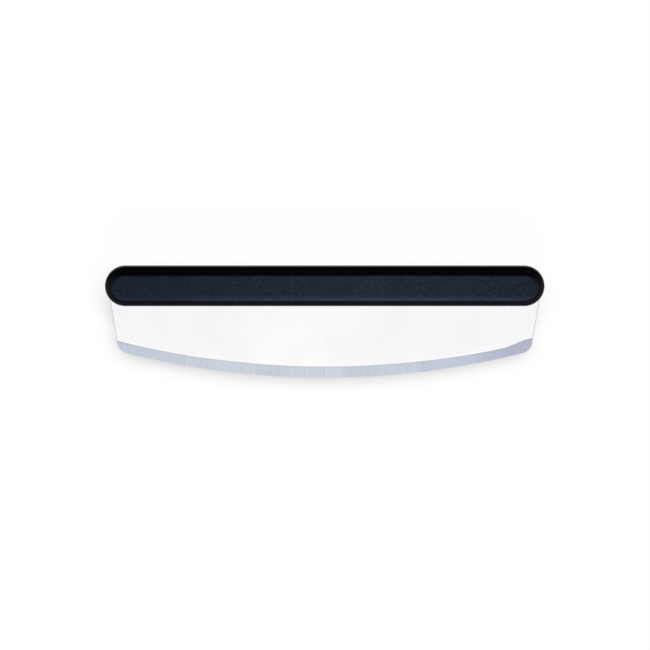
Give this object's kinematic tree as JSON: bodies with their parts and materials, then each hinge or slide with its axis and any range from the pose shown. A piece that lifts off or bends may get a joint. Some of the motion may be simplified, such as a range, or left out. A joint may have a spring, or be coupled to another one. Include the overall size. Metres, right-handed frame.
{
  "type": "rocking pizza knife",
  "caption": "Wide rocking knife with a curved bevelled steel blade under a full-length rounded handle with a textured panel let into each face.",
  "frame": {"origin": "centre of the bounding box in plan, on the plane of the rear panel", "axes": "+X along the handle to the right as seen from the front, +Y from the cutting edge to the spine, +Z out of the front face"},
  "size_m": [0.379, 0.097, 0.022],
  "materials": {
    "blade_steel": "satin faces with a ground bevel along the cutting edge",
    "shell_nylon": "smooth satin moulding",
    "inlay_nylon": "fine spark texture",
    "screw_steel": "plain",
    "insert_brass": "plain turned"
  },
  "bodies": {
    "root": {"blade": "blade_steel", "front_shell": "shell_nylon", "rear_shell": "shell_nylon", "front_inlay": "inlay_nylon", "rear_inlay": "inlay_nylon", "tang_screws": "screw_steel", "threaded_inserts": "insert_brass"}
  },
  "joints": []
}
